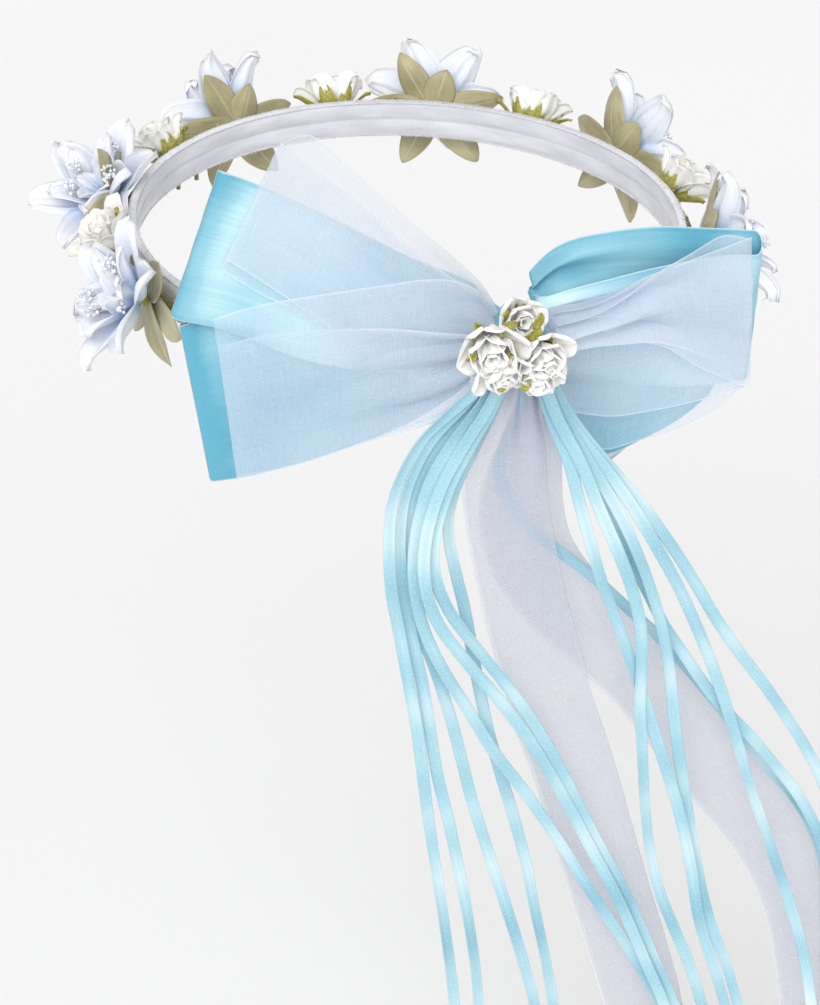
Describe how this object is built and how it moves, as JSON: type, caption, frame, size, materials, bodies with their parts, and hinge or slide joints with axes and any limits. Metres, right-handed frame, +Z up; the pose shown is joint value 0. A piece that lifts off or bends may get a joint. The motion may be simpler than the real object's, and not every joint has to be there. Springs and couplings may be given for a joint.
{
  "type": "flower crown",
  "caption": "Satin-covered ring with a wired garland of silk flowers, leaves and paper roses, a double bow and hanging ribbon streamers.",
  "frame": {"origin": "middle of the head opening, halfway up the band", "axes": "+Z up on the wearer's head; the bow is at -Y and the garland's back at +Y; +X is to the right as seen from the bow's side"},
  "size_m": [0.2439, 0.2351, 0.441],
  "materials": {
    "hoop_wire": "drawn",
    "band_satin": "satin",
    "edge_stitching": "fuzzy thread",
    "floral_tape": "waxed crepe",
    "thread": "twisted",
    "petal_silk": "sheer satin",
    "leaf_silk": "satin",
    "stamen_beads": "pearl",
    "crepe_green": "crepe",
    "rose_paper": "matte",
    "flower_paper": "matte",
    "bow_satin": "satin",
    "bow_organza": "sheer",
    "tail_organza": "sheer",
    "streamer_satin": "satin"
  },
  "bodies": {
    "crown": {"core_hoops": "hoop_wire", "satin_sleeve": "band_satin", "top_edge_stitch": "edge_stitching", "bottom_edge_stitch": "edge_stitching", "garland_wire": "floral_tape", "garland_ties": "thread", "flower_stems": "crepe_green", "stamen_sprays": "stamen_beads", "petals_1": "petal_silk", "petals_2": "petal_silk", "petals_3": "petal_silk", "petals_4": "petal_silk", "petals_5": "petal_silk", "petals_6": "petal_silk", "petals_7": "petal_silk", "petals_8": "petal_silk", "leaves_1": "leaf_silk", "leaves_2": "leaf_silk", "leaves_3": "leaf_silk", "leaves_4": "leaf_silk", "leaves_5": "leaf_silk", "leaves_6": "leaf_silk", "leaves_7": "leaf_silk", "leaves_8": "leaf_silk", "paper_roses": "rose_paper", "rose_calyxes": "crepe_green", "satin_loop_left_upper": "bow_satin", "satin_loop_left_lower": "bow_satin", "satin_loop_right_upper": "bow_satin", "satin_loop_right_lower": "bow_satin", "organza_loop_left_upper": "bow_organza", "organza_loop_left_lower": "bow_organza", "organza_loop_right_upper": "bow_organza", "organza_loop_right_lower": "bow_organza", "knot_wrap": "bow_organza", "bow_threads": "thread", "paper_flower_left": "flower_paper", "paper_flower_right": "flower_paper", "paper_flower_top": "flower_paper", "paper_flower_calyxes": "crepe_green"},
    "hanger": {"hanger_thread": "thread"},
    "ribbons": {"left_bundle_tie": "streamer_satin", "right_bundle_tie": "streamer_satin", "organza_tail_centre": "tail_organza", "organza_tail_right": "tail_organza", "streamer_left_1": "streamer_satin", "streamer_left_2": "streamer_satin", "streamer_left_3": "streamer_satin", "streamer_left_4": "streamer_satin", "streamer_left_5": "streamer_satin", "streamer_left_6": "streamer_satin", "streamer_left_7": "streamer_satin", "streamer_right_1": "streamer_satin", "streamer_right_2": "streamer_satin", "streamer_right_3": "streamer_satin", "streamer_right_4": "streamer_satin", "streamer_right_5": "streamer_satin", "streamer_right_6": "streamer_satin", "streamer_right_7": "streamer_satin"}
  },
  "joints": [
    {"name": "ribbon_sway", "type": "hinge", "parent": "crown", "child": "hanger", "pos_m": [0, -0.1145, 0.012], "axis": [0, 1, 0], "range_deg": [-20, 20]},
    {"name": "ribbon_swing", "type": "hinge", "parent": "hanger", "child": "ribbons", "pos_m": [0, -0.1145, 0.012], "axis": [-1, 0, 0], "range_deg": [0, 40]}
  ]
}
